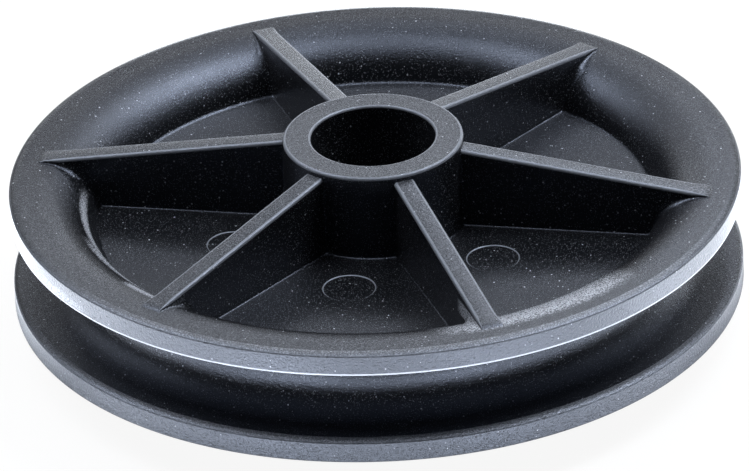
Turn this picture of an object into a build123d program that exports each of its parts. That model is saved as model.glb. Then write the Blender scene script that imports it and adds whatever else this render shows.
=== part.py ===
"""A rope sheave moulded in one piece: a grooved rim, a web, twelve sloping ribs and a plain-bored hub.

The wheel turns about Z, and its middle plane is Z = 0. All sizes are millimetres.

In section the bottom of the rope groove and the inside of the rim are two round arcs about one centre on
the middle plane, so the rim is a shell of even wall that wraps round the rope. A web joins it
to the hub. On each side of the web six ribs run from the hub out to the rim's flat side. The hub is longer
than the rim is wide, so the ribs' crests slope. Both sides are alike, but the ejector pins left their
round marks on the upper one only.
"""

from build123d import *
from math import asin, cos, degrees, radians, sin, sqrt, tan
import os

# Driving dimensions.
outer_diameter = 150.0      # over the lips of the rim
groove_depth = 12.6         # from the lips to the groove's bottom
groove_width = 14.2         # across the round bottom, where it meets the groove's flanks
groove_flank_angle = 2.0    # how far each flank leans outward
rim_wall = 5.5              # from the groove to the inside of the rim
lip_slope_width = 1.7       # both sides of each flange fall away gently beside the lip
lip_slope_drop = 0.55
web_thickness = 6.6
hub_diameter = 37.0
hub_length = 43.5
hub_edge_chamfer = 0.4
bore_diameter = 25.5        # turns on a 25 mm axle
bore_chamfer = 0.4
rib_count = 6               # on each side of the web
rib_thickness = 4.4         # at the crest, beside the hub
rib_edge_chamfer = 0.4      # along the crest
rib_hub_step = 1.3          # from the hub's end down to the crest
rib_rim_step = 0.3          # from the crest's outer end down to the rim's side
rib_end_margin = 5.2        # from the rib's outer end to the lip
draft_angle = 0.5           # on the ribs' sides and on the outside of the hub
ejector_mark_diameter = 10.0
ejector_mark_depth = 0.15
ejector_mark_circle = 66.8  # the diameter of the circle that the marks sit on
ejector_mark_sides = 24     # round enough for so small a mark, with few facets

# Sizes that follow from them.
rim_radius = outer_diameter / 2
groove_radius = groove_width / 2
rim_half = groove_radius + rim_wall
arc_centre = rim_radius - groove_depth + groove_radius
web_half = web_thickness / 2
hub_radius = hub_diameter / 2
hub_half = hub_length / 2
bore_radius = bore_diameter / 2
rib_end = rim_radius - rib_end_margin
rib_step = 360.0 / rib_count
draft = tan(radians(draft_angle))


def round_arc(radius, start, end):
    """An arc about the centre of the groove, with its angles in degrees, as one smooth curve."""
    pull = radius * 4 / 3 * tan(radians(end - start) / 4)

    def near(angle, along):
        x, z = cos(radians(angle)), sin(radians(angle))
        return (arc_centre + radius * x - along * z, radius * z + along * x)

    return Bezier(near(start, 0), near(start, pull), near(end, -pull), near(end, 0))


def rim_outline():
    """The rim's section above the middle plane, from the web round to the bottom of the groove."""
    slope_start = rim_radius - lip_slope_width
    flank_end = groove_radius + (slope_start - arc_centre) * tan(radians(groove_flank_angle))
    roll = round_arc(rim_half, 90, 180 - degrees(asin(web_half / rim_half)))
    groove = round_arc(groove_radius, 90, 180)
    return [
        roll,
        Line(roll @ 0, (slope_start, rim_half)),
        Line((slope_start, rim_half), (rim_radius, rim_half - lip_slope_drop)),
        Line((rim_radius, rim_half - lip_slope_drop), (rim_radius, flank_end + lip_slope_drop)),
        Line((rim_radius, flank_end + lip_slope_drop), (slope_start, flank_end)),
        Line((slope_start, flank_end), groove @ 0),
        groove,
    ]


def hub_outline():
    """The hub's section above the middle plane, from the middle of the bore round to the web."""
    foot = hub_radius + (hub_half - web_half) * draft
    return [
        Line((bore_radius, 0), (bore_radius, hub_half)),
        Line((bore_radius, hub_half), (hub_radius, hub_half)),
        Line((hub_radius, hub_half), (foot, web_half)),
    ]


def corner(section, point):
    """The corner of the section that lies at a point."""
    return section.vertices().sort_by_distance((point.X, point.Y))[0]


def wheel():
    """Hub, web and grooved rim, turned from one section that is the same above and below."""
    hub = hub_outline()
    rim = rim_outline()
    web_top = Line(hub[-1] @ 1, rim[0] @ 1)
    middle = Line(rim[-1] @ 1, hub[0] @ 0)
    section = make_face(hub + [web_top] + rim + [middle])
    hub_end = hub[1]
    section = chamfer(corner(section, hub_end @ 0), bore_chamfer)
    section = chamfer(corner(section, hub_end @ 1), hub_edge_chamfer)
    section += mirror(section, about=Plane.XZ)
    return revolve(Plane.XZ * section, axis=Axis.Z)


def rib():
    """One rib along +X above the web, from inside the hub's wall to its flat outer end.

    Its side view is cut from a bar with drafted sides. The foot runs inside the web and the rim's wall.
    """
    foot = web_half / 2
    start = (bore_radius + hub_radius) / 2
    hub_crest = hub_half - rib_hub_step
    end_crest = rim_half + rib_rim_step
    slope = (hub_crest - end_crest) / (rib_end - hub_radius)
    start_crest = hub_crest + slope * (hub_radius - start)
    wall_middle = groove_radius + rim_wall / 2
    web_end = arc_centre - sqrt(wall_middle**2 - foot**2)
    end_foot = sqrt(wall_middle**2 - (rib_end - arc_centre) ** 2)
    bend = wall_middle * sqrt(0.5)
    side_view = make_face(
        [
            Line((start, foot), (web_end, foot)),
            ThreePointArc((web_end, foot), (arc_centre - bend, bend), (rib_end, end_foot)),
            Line((rib_end, end_foot), (rib_end, end_crest)),
            Line((rib_end, end_crest), (start, start_crest)),
            Line((start, start_crest), (start, foot)),
        ]
    )
    foot_half = rib_thickness / 2 + (hub_crest - foot) * draft
    top_half = rib_thickness / 2 - (start_crest - hub_crest) * draft
    corners = [(-foot_half, foot), (foot_half, foot), (top_half, start_crest), (-top_half, start_crest)]
    bar = extrude(Plane.YZ * make_face(Polyline(*corners, close=True)), amount=rim_radius)
    blade = bar & extrude(Plane.XZ * side_view, amount=foot_half, both=True)
    crest = blade.faces().sort_by(Axis.Z)[-1]
    long_edges = crest.edges().sort_by(SortBy.LENGTH)[-2:]
    return chamfer(long_edges, rib_edge_chamfer)


def ejector_marks():
    """Pins that leave the shallow round marks, one midway between each two ribs."""
    floor = web_half - ejector_mark_depth
    pin = extrude(RegularPolygon(ejector_mark_diameter / 2, ejector_mark_sides), hub_half - floor)
    places = PolarLocations(ejector_mark_circle / 2, rib_count, start_angle=rib_step / 2)
    return [place * Pos(0, 0, floor) * pin for place in places]


def sheave():
    """The whole wheel, with a rib above the web and its mirror image below at each place."""
    blade = rib()
    upper = [Rot(0, 0, i * rib_step) * blade for i in range(rib_count)]
    lower = [mirror(one, about=Plane.XY) for one in upper]
    return wheel() + upper + lower - ejector_marks()


os.makedirs("parts", exist_ok=True)
export_step(sheave(), "parts/sheave.step")
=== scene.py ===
# %% [markdown]
# A black moulded rope sheave, seen from a little above. The imported model is loaded first as a fixed frame.
# Its box is kept.

# %% Load the frame
from math import atan2, cos, degrees, pi, radians, sin, sqrt, tan

import bmesh
import bpy
from mathutils import Matrix, Vector
from mathutils.geometry import delaunay_2d_cdt


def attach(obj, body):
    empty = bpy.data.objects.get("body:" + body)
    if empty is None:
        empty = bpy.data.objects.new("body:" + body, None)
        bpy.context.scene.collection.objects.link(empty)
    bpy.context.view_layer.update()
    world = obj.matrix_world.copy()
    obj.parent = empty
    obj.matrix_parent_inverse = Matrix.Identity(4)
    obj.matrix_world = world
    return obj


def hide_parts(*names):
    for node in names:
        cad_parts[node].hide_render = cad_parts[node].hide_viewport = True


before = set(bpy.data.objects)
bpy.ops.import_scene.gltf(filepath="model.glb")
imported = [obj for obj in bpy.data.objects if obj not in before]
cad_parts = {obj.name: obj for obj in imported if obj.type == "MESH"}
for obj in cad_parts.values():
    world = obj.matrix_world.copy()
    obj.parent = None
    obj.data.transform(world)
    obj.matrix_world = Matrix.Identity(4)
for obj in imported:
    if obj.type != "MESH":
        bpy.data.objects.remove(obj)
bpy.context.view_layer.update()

mm = 0.001

# %% [markdown]
# The wheel's sizes, in millimetres and degrees. They repeat the part's own, since nothing else is read from
# disk, and add the small rounds that the part leaves out.

# %% Sizes
rim_radius = 75.0
roll_centre = 69.5
groove_radius = 7.1
roll_radius = 12.6
flank_angle = 2.0
lip_radius = 3.4
lip_turn = 34.0
lip_edge_radius = 0.22
web_half = 3.3
root_radius = 0.5
rim_root_radius = 1.1
hub_radius = 18.5
hub_half = 21.75
hub_edge_radius = 0.6
bore_radius = 12.75
bore_edge_radius = 0.5
rib_count = 6
rib_half = 2.2
rib_end = 69.8
rib_edge_radius = 0.65
web_flare = 0.35
roll_flare = 1.5
hub_crest = 20.45
end_crest = 12.9
end_fall = 0.28
end_fall_length = 1.3
draft = tan(radians(0.5))
mark_radius = 5.5
mark_depth = 0.12
mark_slope = 0.26
mark_circle = 31.1
mark_sides = 48
turns = 360

# %% [markdown]
# The wheel's half section is drawn as arcs and straight runs, from the middle of the bore to the bottom of
# the groove. Each straight run gets a point close to either end, so that smooth shading keeps it straight.

# %% Section of the wheel
def arc(centre, radius, start, end, steps):
    """Points on an arc about a centre, with its angles in degrees."""
    points = []
    for i in range(steps + 1):
        a = radians(start + (end - start) * i / steps)
        points.append((centre[0] + radius * cos(a), centre[1] + radius * sin(a)))
    return points


def run(a, b, hold=0.06):
    """Two points inside a straight run, close to its ends."""
    length = sqrt((b[0] - a[0]) ** 2 + (b[1] - a[1]) ** 2)
    t = min(0.4, hold / length)
    return [(a[0] + (b[0] - a[0]) * s, a[1] + (b[1] - a[1]) * s) for s in (t, 1 - t)]


def hub_wall(z):
    """The hub's outside radius at a height, with its draft."""
    return hub_radius + (hub_half - z) * draft


def joined(*pieces):
    """Arcs joined by straight runs, with holding points on each run."""
    points = list(pieces[0])
    for piece in pieces[1:]:
        points += run(points[-1], piece[0])
        points += piece
    return points


bore_edge = arc((bore_radius + bore_edge_radius, hub_half - bore_edge_radius), bore_edge_radius, 180, 90, 6)
hub_edge = arc((hub_radius - hub_edge_radius, hub_half - hub_edge_radius), hub_edge_radius, 90, 0, 6)
foot = hub_wall(web_half + root_radius) + root_radius
hub_root = arc((foot, web_half + root_radius), root_radius, 180, 270, 6)
rim_root_z = web_half + rim_root_radius
rim_root_x = roll_centre - sqrt((roll_radius + rim_root_radius) ** 2 - rim_root_z**2)
roll_start = degrees(atan2(rim_root_z, rim_root_x - roll_centre))
rim_root = arc((rim_root_x, rim_root_z), rim_root_radius, 270, roll_start + 180, 8)
roll = arc((roll_centre, 0), roll_radius, roll_start, 90, 28)
lip_start = rim_radius - lip_radius * sin(radians(lip_turn))


def lip(centre, side):
    """The gentle round beside the lip and the tight one at its edge.

    The side is 1 outside the rim and -1 in the groove.
    """
    edge_x = rim_radius - lip_edge_radius
    reach = lip_radius - lip_edge_radius
    edge_z = centre[1] + side * sqrt(reach**2 - (edge_x - centre[0]) ** 2)
    turn_over = degrees(atan2(edge_z - centre[1], edge_x - centre[0]))
    start = 90 if side == 1 else flank_angle - 90
    gentle = arc(centre, lip_radius, start, turn_over, 8)
    return gentle + arc((edge_x, edge_z), lip_edge_radius, turn_over, 0, 6)[1:]


flank = radians(flank_angle)
flank_end = groove_radius / cos(flank) + (lip_start - roll_centre) * tan(flank)
outer_lip = lip((lip_start, roll_radius - lip_radius), 1)
groove_lip = lip((lip_start - lip_radius * sin(flank), flank_end + lip_radius * cos(flank)), -1)[::-1]
groove = arc((roll_centre, 0), groove_radius, 90 + flank_angle, 180, 24)

inside = joined([(bore_radius, 0)], bore_edge, hub_edge, hub_root)
outside = rim_root + roll[1:]
outside = joined(outside, outer_lip, groove_lip, groove)
# The paler rubbed material is partly wear and partly a painted highlight along the edges of the bore and the
# hub.
wear_and_highlight_points = set(bore_edge + hub_edge)
wear_and_highlight_points |= {(x, -z) for x, z in wear_and_highlight_points}
# The upper flange's sharp lower edge gets the paler material as a painted highlight.
wear_and_highlight_points |= set(groove_lip[:7])
print("section points:", len(inside), len(outside))

# %% [markdown]
# The section is spun round the axle. The upper web is left open in the spin and filled with one flat sheet
# that has a round hole for each ejector mark, so each mark can be a real, shallow recess.

# %% Spin the wheel
def spun(bm, points):
    """A strip of the wheel, from a line of section points turned about the axle. Gives its two end rings."""
    rings = []
    for x, z in points:
        ring = []
        for i in range(turns):
            a = 2 * pi * i / turns
            ring.append(bm.verts.new((x * cos(a) * mm, x * sin(a) * mm, z * mm)))
        rings.append(ring)
    for n, (low, high) in enumerate(zip(rings, rings[1:])):
        edge = points[n] in wear_and_highlight_points and points[n + 1] in wear_and_highlight_points
        for i in range(turns):
            bm.faces.new((low[i - 1], low[i], high[i], high[i - 1])).material_index = int(edge)
    return rings[0], rings[-1]


def round_line(bm, x, y, radius, z, count):
    """A ring of new vertices about a point on the web."""
    ring = []
    for i in range(count):
        a = 2 * pi * i / count
        ring.append(bm.verts.new(((x + radius * cos(a)) * mm, (y + radius * sin(a)) * mm, z * mm)))
    return ring


def marked_web(bm, inner, outer):
    """The upper web as one flat sheet between two rings, with a recess at each ejector mark."""
    loops = [inner, outer]
    marks = []
    for i in range(rib_count):
        a = 2 * pi * (i + 0.5) / rib_count
        x, y = mark_circle * cos(a), mark_circle * sin(a)
        rim = round_line(bm, x, y, mark_radius, web_half, mark_sides)
        low = round_line(bm, x, y, mark_radius - mark_slope, web_half - mark_depth, mark_sides)
        for k in range(mark_sides):
            bm.faces.new((rim[k - 1], rim[k], low[k], low[k - 1])).material_index = 1
        bm.faces.new(low)
        marks.append(Vector((x, y)))
        loops.append(rim)
    verts = []
    edges = []
    for loop in loops:
        start = len(verts)
        verts += loop
        edges += [(start + k, start + (k + 1) % len(loop)) for k in range(len(loop))]
    flat = [Vector((v.co.x / mm, v.co.y / mm)) for v in verts]
    points, _, faces, origin, _, _ = delaunay_2d_cdt(flat, edges, [], 0, 1e-6)
    for face in faces:
        middle = sum((points[k] for k in face), Vector((0, 0))) / len(face)
        in_mark = any((middle - mark).length < mark_radius * 0.998 for mark in marks)
        on_web = foot * 0.9999 < middle.length < rim_root_x * 0.99997
        if on_web and not in_mark:
            bm.faces.new([verts[origin[k][0]] for k in face])


def finished(bm, name, angle=24):
    """Turns the built mesh into an object, smooth over curves and crisp at its edges."""
    bmesh.ops.remove_doubles(bm, verts=bm.verts, dist=1e-8)
    bmesh.ops.recalc_face_normals(bm, faces=bm.faces)
    for f in bm.faces:
        f.smooth = True
    for e in bm.edges:
        e.smooth = e.is_manifold and e.calc_face_angle(0) < radians(angle)
    open_edges = sum(not e.is_manifold for e in bm.edges)
    mesh = bpy.data.meshes.new(name)
    bm.to_mesh(mesh)
    bm.free()
    obj = bpy.data.objects.new(name, mesh)
    bpy.context.scene.collection.objects.link(obj)
    print(name, "faces:", len(mesh.polygons), "open edges:", open_edges)
    return obj


def mirrored(points):
    return [(x, -z) for x, z in points]


bm = bmesh.new()
_, hub_ring = spun(bm, inside)
rim_ring, _ = spun(bm, outside)
spun(bm, mirrored(inside) + mirrored(outside))
marked_web(bm, hub_ring, rim_ring)
wheel = finished(bm, "wheel")

# %% [markdown]
# A rib is a thin blade whose foot flares out in a small hollow round, tight on the web and wider on the rim.
# The flare is laid along the wheel's own section: at each step it is a quarter circle that touches the rib's
# side and the wheel. The blade's flat sides are single faces, and its crest has rounded edges.

# %% Ribs
slope = (hub_crest - end_crest) / (rib_end - hub_radius)
flare_steps = 7
edge_steps = 5
least_flare = 0.02
end_flare = 0.12
inset = 0.02
bury = 0.004
root_depth = 0.6
rim_from = 30.0
roll_from = 60.0


def crest(x):
    return hub_crest - slope * (x - hub_radius)


def crest_end(x):
    """The crest's height, with its outer end falling smoothly to the rim."""
    t = min(1.0, max(0.0, (x - rib_end + end_fall_length) / end_fall_length))
    return crest(x) - end_fall * t * t


def half_width(z):
    return rib_half + (hub_crest - z) * draft


def root_path(centre_x, centre_z, radius, angles):
    """The part of the rib's path that follows the small round between the web and a wall."""
    path = []
    for angle in angles:
        c, s = cos(radians(angle)), sin(radians(angle))
        path.append((centre_x + radius * c, centre_z + radius * s, -c, -s, web_flare))
    return path


def rib_path():
    """Points and outward directions down the hub's wall, along the web and up the rim to the rib's end.

    The last number of each is the size of the flare there.
    """
    path = []
    top = hub_crest - rib_edge_radius
    for i in range(13):
        z = top + (web_half + root_radius - top) * i / 12
        path.append((hub_wall(z), z, 1.0, draft, least_flare + (web_flare - least_flare) * min(1.0, i / 2)))
    path += root_path(foot, web_half + root_radius, root_radius, (202.5, 225, 247.5, 270))
    for i in range(1, 20):
        path.append((foot + (rim_root_x - foot) * i / 20, web_half, 0.0, 1.0, web_flare))
    turn_up = [270 + (roll_start - 90) * i / 4 for i in range(5)]
    path += root_path(rim_root_x, rim_root_z, rim_root_radius, turn_up)
    steps = 36
    for i in range(1, steps + 1):
        a = radians(roll_start + (90 - roll_start) * i / steps)
        wide = web_flare + roll_flare * sin(min(1.0, i / steps * 1.6) * pi / 2) ** 2
        path.append((roll_centre + roll_radius * cos(a), roll_radius * sin(a), cos(a), sin(a), wide))
    path.append((rib_end, roll_radius, 0.0, 1.0, end_flare))
    return path


def on_round_wall(x, y, wall):
    """A point's place along the rib, once the flat wall it was drawn on is bent round the axle."""
    if wall > rim_from:
        return sqrt(x * x - y * y)
    return x - (wall - sqrt(wall * wall - y * y))


def flare_lines(put, path, hand):
    """The hollow foot of one side of a rib, as a line of vertices at each step of its path."""
    lines = []
    for n, (px, pz, nx, nz, wide) in enumerate(path):
        room = (crest(px) - pz) / (nz + slope * nx)
        size = min(wide, max(0.05, 0.45 * room))
        across = half_width(pz + size * nz)
        line = []
        for k in range(flare_steps + 1):
            a = pi / 2 * k / flare_steps
            lift = size * (1 - sin(a)) - (bury if k == flare_steps else 0)
            y = across + size * (1 - cos(a))
            x = px + lift * nx
            if n < len(path) - 1:
                x = on_round_wall(x, y, px)
            line.append(put(x, y * hand, pz + lift * nz))
        line.append(put(px - root_depth * nx, (across + size) * hand, pz - root_depth * nz))
        lines.append(line)
    return lines


def edge_lines(put, stations, hand):
    """The rounded long edge of one side of a rib's crest, as a line of vertices at each station."""
    lines = []
    for x in stations:
        top = crest_end(x)
        room = top
        if x > roll_from:
            room = top - sqrt(max(0, roll_radius**2 - (min(x, roll_centre) - roll_centre) ** 2))
        size = min(rib_edge_radius, 0.45 * room)
        w = half_width(top)
        line = []
        for k in range(edge_steps + 1):
            a = pi / 2 * k / edge_steps
            line.append(put(x, (w - size + size * cos(a)) * hand, top - size + size * sin(a)))
        lines.append(line)
    return lines


def rib(bm, turn, side):
    """One rib, turned to its place; side is 1 above the web and -1 below it."""

    def put(x, y, z):
        c, s = cos(turn), sin(turn)
        return bm.verts.new(((x * c - y * s) * mm, (x * s + y * c) * mm, z * side * mm))

    path = rib_path()
    first = hub_wall(crest(hub_radius)) + inset
    length = rib_end - hub_wall(hub_crest) - inset
    stations = [first + length * (1 - (1 - i / 30) ** 2.4) for i in range(31)]
    sides = [(flare_lines(put, path, hand), edge_lines(put, stations, hand)) for hand in (1, -1)]
    for flares, rounds in sides:
        for a, b in zip(flares, flares[1:]):
            for k in range(len(a) - 1):
                bm.faces.new((a[k], a[k + 1], b[k + 1], b[k]))
        for a, b in zip(rounds, rounds[1:]):
            for k in range(edge_steps):
                # The crest's rounded edges take the paler material: partly wear, partly a painted highlight.
                bm.faces.new((a[k], a[k + 1], b[k + 1], b[k])).material_index = 1
        wall = [line[0] for line in rounds] + [line[0] for line in reversed(flares)]
        bm.faces.new(wall)
    (flares_a, rounds_a), (flares_b, rounds_b) = sides
    for lines_a, lines_b in ((rounds_a, rounds_b), (flares_a, flares_b)):
        for i in range(len(lines_a) - 1):
            bm.faces.new((lines_a[i][-1], lines_b[i][-1], lines_b[i + 1][-1], lines_a[i + 1][-1]))
    for i in (0, -1):
        cap = list(reversed(flares_a[i])) + rounds_a[i] + list(reversed(rounds_b[i])) + flares_b[i]
        bm.faces.new(cap)


bm = bmesh.new()
for side in (1, -1):
    for i in range(rib_count):
        rib(bm, 2 * pi * i / rib_count, side)
ribs = finished(bm, "ribs")

# %% [markdown]
# The materials are drawn with a few small helpers: one adds a node, the others do sums on node outputs.

# %% Node helpers
def node(tree, kind, **values):
    """Adds a node and sets its inputs and settings by name."""
    n = tree.nodes.new(kind)
    for key, value in values.items():
        if key in n.inputs:
            n.inputs[key].default_value = value
        else:
            setattr(n, key, value)
    return n


def maths(tree, operation, *values):
    """Adds a maths node; each value is a number or another node's output."""
    n = tree.nodes.new("ShaderNodeMath")
    n.operation = operation
    for socket, value in zip(n.inputs, values):
        if isinstance(value, (int, float)):
            socket.default_value = value
        else:
            tree.links.new(value, socket)
    return n.outputs[0]


def product(tree, first, *others):
    for other in others:
        first = maths(tree, "MULTIPLY", first, other)
    return first


def largest(tree, first, *others):
    for other in others:
        first = maths(tree, "MAXIMUM", first, other)
    return first


def distance(tree, x, y):
    return maths(tree, "SQRT", maths(tree, "ADD", product(tree, x, x), product(tree, y, y)))


def bumps(tree, height, strength, depth, before=None):
    """Adds a bump from a height, on top of an earlier one; the depth is in millimetres."""
    n = node(tree, "ShaderNodeBump", Distance=depth * mm)
    if isinstance(strength, (int, float)):
        n.inputs["Strength"].default_value = strength
    else:
        tree.links.new(strength, n.inputs["Strength"])
    tree.links.new(height, n.inputs["Height"])
    if before:
        tree.links.new(before, n.inputs["Normal"])
    return n.outputs["Normal"]


def noise(tree, where, scale, detail, roughness=0.5):
    n = node(tree, "ShaderNodeTexNoise", Scale=scale, Detail=detail, Roughness=roughness)
    tree.links.new(where, n.inputs["Vector"])
    return n.outputs["Fac"]


def ramp(tree, value, start, end):
    """Rises from nothing at one value to one at another; both in millimetres."""
    n = node(tree, "ShaderNodeMapRange", **{"From Min": start * mm, "From Max": end * mm})
    tree.links.new(value, n.inputs["Value"])
    return n.outputs["Result"]


def between(tree, value, low, high, soft):
    """One between two values, with soft ends; in millimetres."""
    return product(tree, ramp(tree, value, low, low + soft), ramp(tree, value, high, high - soft))


def patch(tree, x, y, centre, reach):
    """One at a place on the wheel, seen from above, falling to nothing at a distance; in millimetres."""
    dx = maths(tree, "SUBTRACT", x, centre[0] * mm)
    dy = maths(tree, "SUBTRACT", y, centre[1] * mm)
    return ramp(tree, distance(tree, dx, dy), reach, 0.55 * reach)


# %% [markdown]
# Light dust lies on the nylon, as loose specks all over and as pale streaks where hands leave it, beside one
# rib and along the ribs' crests. The pale streaks on the inner wall of the rim and on the lips are painted
# highlights.

# %% Dust and painted highlights
# Each painted highlight streak on the rim's inner wall: its place, its reach, its lowest and highest point,
# its soft edge.
painted_wall_streaks = [
    ((-56.0, -21.0), 17.0, 7.0, 9.2, 0.9),
    ((-46.0, -41.0), 17.0, 7.8, 10.6, 1.0),
    ((-37.5, -51.5), 7.0, 10.6, 12.0, 0.4),
]


def specks(tree, where):
    """Loose specks: the larger ones round and scattered, the fine ones thick as grain."""
    cells = node(tree, "ShaderNodeTexVoronoi", Scale=900.0)
    tree.links.new(where, cells.inputs["Vector"])
    chance = tree.nodes.new("ShaderNodeSeparateXYZ")
    tree.links.new(cells.outputs["Color"], chance.inputs[0])
    near = maths(tree, "LESS_THAN", cells.outputs["Distance"], product(tree, chance.outputs[1], 0.16))
    coarse = product(tree, near, maths(tree, "POWER", chance.outputs[0], 1.5))
    fine = product(tree, maths(tree, "GREATER_THAN", noise(tree, where, 4200.0, 0.0), 0.72), 0.2)
    return largest(tree, coarse, fine)


def dust_and_painted_streaks(tree, x, y, z, radius, upward, sparkle):
    """Dust lying on the nylon or worked into it, and painted highlights in streaks on the rim's inner wall,
    broken up by the fine sparkle.
    """
    # Painted highlight: pale streaks on the rim's inner wall.
    wall_highlights = [
        product(tree, between(tree, z, low, high, soft), patch(tree, x, y, centre, reach))
        for centre, reach, low, high, soft in painted_wall_streaks
    ]
    beside_rib = product(
        tree,
        between(tree, z, 9.5, 12.78, 0.2),
        between(tree, radius, 55.0, 71.0, 2.5),
        patch(tree, x, y, (42.0, -50.0), 24.0),
    )
    on_side = product(
        tree,
        maths(tree, "COMPARE", z, 12.3 * mm, 0.35 * mm),
        maths(tree, "GREATER_THAN", radius, 62.0 * mm),
        patch(tree, x, y, (-20.0, -68.0), 90.0),
        0.45,
    )
    crests = product(tree, maths(tree, "GREATER_THAN", z, 12.75 * mm), upward, 0.6)
    thick_dust_and_streaks = largest(tree, product(tree, largest(tree, *wall_highlights), 6.5), product(tree, beside_rib, 5.0), on_side)
    return product(tree, largest(tree, maths(tree, "ADD", thick_dust_and_streaks, 0.06), crests), sparkle)


def painted_lip_highlights(tree, x, y, z, radius, at_edge, sparkle):
    """Painted highlights: on the front of the lips, nearly white on the sharp lower edge of the upper
    flange, and faint on each flange's outer edge.
    """
    # Painted highlight on the front of the lips.
    on_lip = maths(tree, "COMPARE", radius, 74.0 * mm, 0.75 * mm)
    front_lip_highlight = product(tree, on_lip, patch(tree, x, y, (15.0, -72.0), 95.0), 1.2)
    front_lip_highlight = product(tree, front_lip_highlight, maths(tree, "ADD", sparkle, 0.1))
    # Painted highlight, nearly white, on the upper flange's sharp lower edge.
    lower_edge_highlight = maths(tree, "COMPARE", z, 7.75 * mm, 0.45 * mm)
    lower_edge_highlight = product(tree, lower_edge_highlight, maths(tree, "GREATER_THAN", radius, 74.6 * mm))
    # A faint painted highlight on each flange's outer edge joins them.
    return largest(tree, front_lip_highlight, lower_edge_highlight, product(tree, at_edge, 0.1))


# %% [markdown]
# Black nylon: nearly black, satin, with the fine grain of a spark-eroded mould. Two layers of noise make the
# grain, and a third, slow one makes the shine uneven. The outer edge of each flange is more coarsely pitted.
# Where it is rubbed, at the edges of the hub, the bore and the crests, the nylon is paler and smoother; the
# paler colour there is partly wear and partly a painted highlight, and on the upper flange's sharp lower
# edge it is a painted highlight only.

# %% Material
nylon_ior = 1.53
cool_tint = (0.73, 0.81, 1, 1)
# The pale dust colour, which the painted highlights use too.
dust_and_highlight_colour = (0.34, 0.35, 0.38, 1)
edge_band = 0.35


def parts_of(tree, vector):
    n = tree.nodes.new("ShaderNodeSeparateXYZ")
    tree.links.new(vector, n.inputs[0])
    return n.outputs


def grain(tree, where, at_edge):
    """The mould's grain, with coarser pits on the outer edge."""
    normal = bumps(tree, noise(tree, where, 3600.0, 2.0, 0.6), 1.0, 0.09)
    normal = bumps(tree, noise(tree, where, 1700.0, 1.0), 0.4, 0.08, normal)
    pits = maths(tree, "SMOOTH_MIN", noise(tree, where, 2100.0, 1.0), 0.5, 0.1)
    return bumps(tree, pits, product(tree, at_edge, 0.9), 0.35, normal)


def shine(tree, where, at_edge, least_rough):
    """The uneven roughness of the wheel, and its duller outer edge."""
    haze = product(tree, noise(tree, where, 60.0, 3.0, 0.6), 0.12)
    return maths(tree, "ADD", maths(tree, "ADD", haze, least_rough), product(tree, at_edge, 0.12))


def laid_over(tree, amount, colour, over):
    """One colour laid over another by an amount."""
    mix = node(tree, "ShaderNodeMix", data_type="RGBA")
    for socket in mix.inputs:
        if socket.name in ("A", "B") and socket.type == "RGBA":
            socket.default_value = colour if socket.name == "A" else over
    tree.links.new(amount, mix.inputs["Factor"])
    return [socket for socket in mix.outputs if socket.type == "RGBA"][0]


def black_nylon(name, colour, least_rough):
    mat = bpy.data.materials.new(name)
    mat.use_nodes = True
    tree = mat.node_tree
    texture_space = tree.nodes.new("ShaderNodeTexCoord")
    where = texture_space.outputs["Object"]
    x, y, z = parts_of(tree, where)
    radius = distance(tree, x, y)
    at_edge = maths(tree, "GREATER_THAN", radius, (rim_radius - edge_band) * mm)
    upward = maths(tree, "GREATER_THAN", parts_of(tree, texture_space.outputs["Normal"])[2], 0.8)
    sparkle = maths(tree, "POWER", noise(tree, where, 3300.0, 1.0), 3.0)
    lying_dust_and_painted_light = dust_and_painted_streaks(tree, x, y, z, radius, upward, sparkle)
    # The painted highlights on the lips and the upper flange's lower edge join the dust and the painted wall
    # streaks.
    lip_and_edge_highlights = painted_lip_highlights(tree, x, y, z, radius, at_edge, sparkle)
    lying_dust_and_painted_light = maths(tree, "MINIMUM", largest(tree, lying_dust_and_painted_light, lip_and_edge_highlights), 0.9)
    all_dust_and_painted_light = largest(tree, specks(tree, where), lying_dust_and_painted_light)
    shader = tree.nodes["Principled BSDF"]
    shader.inputs["IOR"].default_value = nylon_ior
    shader.inputs["Specular Tint"].default_value = cool_tint
    tree.links.new(grain(tree, where, at_edge), shader.inputs["Normal"])
    tree.links.new(shine(tree, where, at_edge, least_rough), shader.inputs["Roughness"])
    tree.links.new(laid_over(tree, all_dust_and_painted_light, colour, dust_and_highlight_colour), shader.inputs["Base Color"])
    return mat


nylon = black_nylon("black_nylon", (0.002, 0.0022, 0.003, 1), 0.13)
# Paler nylon for the edges: partly wear, partly a painted highlight.
wear_and_painted_highlight = black_nylon("wear_and_painted_highlight_nylon", (0.1, 0.106, 0.12, 1), 0.15)
for obj in (wheel, ribs):
    obj.data.materials.append(nylon)
    obj.data.materials.append(wear_and_painted_highlight)
    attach(obj, "root")
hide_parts("sheave")

# %% [markdown]
# The camera stands well back with a long lens, a little to one side of a rib and 29 degrees up. Its place is
# given in rim radii from a point near the wheel's middle.

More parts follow.
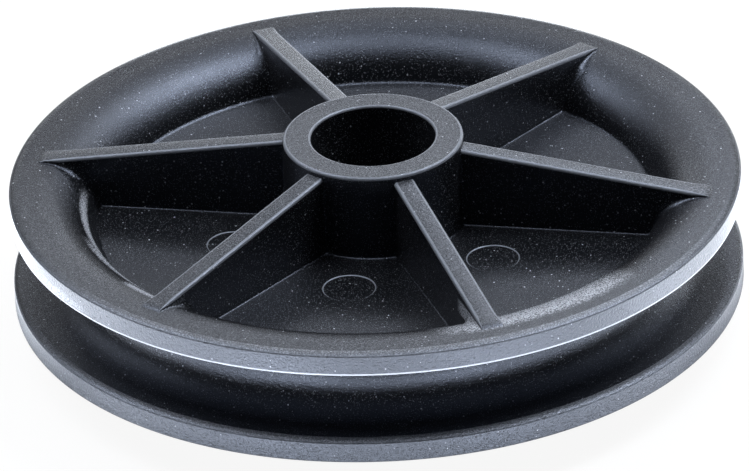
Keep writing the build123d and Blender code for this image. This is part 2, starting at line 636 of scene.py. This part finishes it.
# %% Camera
camera_turn = radians(11.43)
turn = Matrix.Rotation(camera_turn, 3, "Z")
tilt = 0.5027
lean = -0.0442
back, leftward, downward = 31.03, 0.0054, 0.0203
aim_height = 0.13 * mm
lens_per_width = 11335.85 / 750
ahead = Vector((0, cos(tilt), -sin(tilt)))
level_right = Vector((1, 0, 0))
level_up = level_right.cross(ahead)
right = cos(lean) * level_right + sin(lean) * level_up
up = -sin(lean) * level_right + cos(lean) * level_up
offset = rim_radius * mm * (-back * ahead - leftward * right - downward * up)
spot = offset + Vector((0, 0, aim_height))
axes = Matrix((right, up, -ahead)).transposed()
camera = bpy.data.objects.new("camera", bpy.data.cameras.new("camera"))
bpy.context.scene.collection.objects.link(camera)
camera.matrix_world = Matrix.Translation(turn @ spot) @ (turn @ axes).to_4x4()
camera.data.sensor_width = 36
camera.data.lens = lens_per_width * camera.data.sensor_width
camera.data.clip_start = 0.1
camera.data.clip_end = 20
bpy.context.scene.camera = camera

# %% [markdown]
# The floor is a wide white sheet. It glows white to the camera and a little in reflections, so it stays
# white around the wheel and still shows the wheel's soft shadow. The backdrop is there for reflections only.

# %% Floor and backdrop
floor_z = -hub_half * mm


def sheet(name, size, place, tilted, glow, shine):
    """A square white sheet.

    Glow is the share of its white that the lamps don't change, and shine is how bright it is in reflections.
    """
    bm = bmesh.new()
    bmesh.ops.create_grid(bm, x_segments=1, y_segments=1, size=size)
    mesh = bpy.data.meshes.new(name)
    bm.to_mesh(mesh)
    bm.free()
    obj = bpy.data.objects.new(name, mesh)
    upright = Matrix.Translation(place) @ Matrix.Rotation(tilted, 4, "X")
    obj.matrix_world = Matrix.Rotation(camera_turn, 4, "Z") @ upright
    bpy.context.scene.collection.objects.link(obj)
    mat = bpy.data.materials.new(name)
    mat.use_nodes = True
    tree = mat.node_tree
    tree.nodes.clear()
    out = tree.nodes.new("ShaderNodeOutputMaterial")
    paint = node(tree, "ShaderNodeBsdfDiffuse", Color=(0.9, 0.9, 0.9, 1))
    light = node(tree, "ShaderNodeEmission", Color=(1, 1, 1, 1))
    rays = tree.nodes.new("ShaderNodeLightPath")
    to_camera, to_shine = rays.outputs["Is Camera Ray"], rays.outputs["Is Glossy Ray"]
    mix = tree.nodes.new("ShaderNodeMixShader")
    tree.links.new(maths(tree, "MAXIMUM", to_camera, shine), light.inputs["Strength"])
    tree.links.new(product(tree, largest(tree, to_camera, to_shine), glow), mix.inputs[0])
    tree.links.new(paint.outputs[0], mix.inputs[1])
    tree.links.new(light.outputs[0], mix.inputs[2])
    tree.links.new(mix.outputs[0], out.inputs["Surface"])
    mesh.materials.append(mat)
    return obj


sheet("floor", 3, (0, 0, floor_z), 0, 0.92, 0.07)
sheet("backdrop", 2.2, (0, 2.0, 0.3), radians(90), 1.0, 0.3).visible_camera = False

# %% [markdown]
# Softboxes hang over the wheel and at its sides, small panels stand close behind it, and two long ones stand
# far off near the horizon. Each is given by how bright its face is.

# %% Softboxes
lamp_colour = (0.88, 0.93, 1)


def softbox(name, place, aim, size, radiance):
    """A rectangular soft light, placed as seen from the camera's side and aimed at a point."""
    data = bpy.data.lights.new(name, "AREA")
    data.shape = "RECTANGLE"
    data.size, data.size_y = size
    data.energy = radiance * pi * size[0] * size[1]
    data.color = lamp_colour
    obj = bpy.data.objects.new(name, data)
    here = turn @ Vector(place)
    obj.location = here
    obj.rotation_mode = "QUATERNION"
    obj.rotation_quaternion = (turn @ Vector(aim) - here).to_track_quat("-Z", "Y")
    obj.visible_camera = False
    bpy.context.scene.collection.objects.link(obj)
    return obj


middle = (0, 0, 0)
softboxes = [
    ("overhead_left", (-0.45, 0.12, 0.75), middle, (0.3, 0.5), 8.6),
    ("overhead_right", (0.45, 0.12, 0.75), middle, (0.3, 0.5), 17.0),
    ("overhead_front", (0, -0.14, 0.85), middle, (0.5, 0.22), 5.2),
    ("overhead_centre", (0, 0.12, 0.85), middle, (0.5, 0.22), 2.0),
    ("left", (-0.5, 0.14, 0.45), middle, (0.45, 0.4), 2.3),
    ("right", (0.5, 0.14, 0.45), middle, (0.45, 0.4), 1.2),
    ("back_left", (-0.12, 0.22, 0.155), (-0.12, -0.05, 0), (0.12, 0.03), 0.8),
    ("back_left_high", (-0.12, 0.22, 0.23), (-0.12, -0.05, 0), (0.14, 0.08), 1.4),
    ("back_centre", (0, 0.22, 0.19), (0, -0.05, 0), (0.12, 0.04), 4.1),
    ("back_right", (0.12, 0.22, 0.21), (0.12, -0.05, 0), (0.12, 0.08), 5.6),
    ("back_right_high", (0.12, 0.22, 0.29), (0.12, -0.05, 0), (0.12, 0.08), 3.8),
    ("back_low", (0.02, 0.22, 0.06), (0, -0.05, 0), (0.18, 0.04), 0.3),
    ("horizon", (0, 0.65, 0.06), (0, 0, 0.01), (0.5, 0.12), 1.7),
    ("horizon_right", (0.5, 0.55, 0.06), (0, 0, 0.01), (0.5, 0.12), 5.7),
]
for settings in softboxes:
    softbox(*settings)
print("softboxes:", len(softboxes))

# %% [markdown]
# A ring of panels lies on the floor round the wheel and shines upward, as a light table does. It lights the
# rim's edge from below. The hub's end stays free, so that no light comes up the bore.

# %% Light table
table = (4.0, 0.0, 6.6, 5.8, 5.0, 5.3, 5.2, 0.0)
table_panel = (0.12, 0.35)
table_reach = 0.26
table_height = floor_z + 1 * mm
for i, radiance in enumerate(table):
    if not radiance:
        continue
    lamp = softbox(f"table_{i}", middle, (0, 0, 1), table_panel, radiance)
    around = turn.to_4x4() @ Matrix.Rotation(2 * pi * i / len(table), 4, "Z")
    face_up = Matrix.Translation((0, table_reach, table_height)) @ Matrix.Rotation(pi, 4, "X")
    lamp.rotation_mode = "XYZ"
    lamp.matrix_world = around @ face_up

# %% [markdown]
# The room is nearly dark, so that the nylon reflects little but the lamps. To the camera it is white.

# %% World
world = bpy.data.worlds.new("world")
bpy.context.scene.world = world
world.use_nodes = True
tree = world.node_tree
tree.nodes.clear()
out = tree.nodes.new("ShaderNodeOutputWorld")
white = node(tree, "ShaderNodeBackground", Color=(1, 1, 1, 1), Strength=1.0)
room = node(tree, "ShaderNodeBackground", Color=(0.9, 0.95, 1, 1), Strength=0.004)
mix = tree.nodes.new("ShaderNodeMixShader")
rays = tree.nodes.new("ShaderNodeLightPath")
tree.links.new(rays.outputs["Is Camera Ray"], mix.inputs[0])
tree.links.new(room.outputs[0], mix.inputs[1])
tree.links.new(white.outputs[0], mix.inputs[2])
tree.links.new(mix.outputs[0], out.inputs[0])
bpy.context.scene.view_settings.view_transform = "Standard"
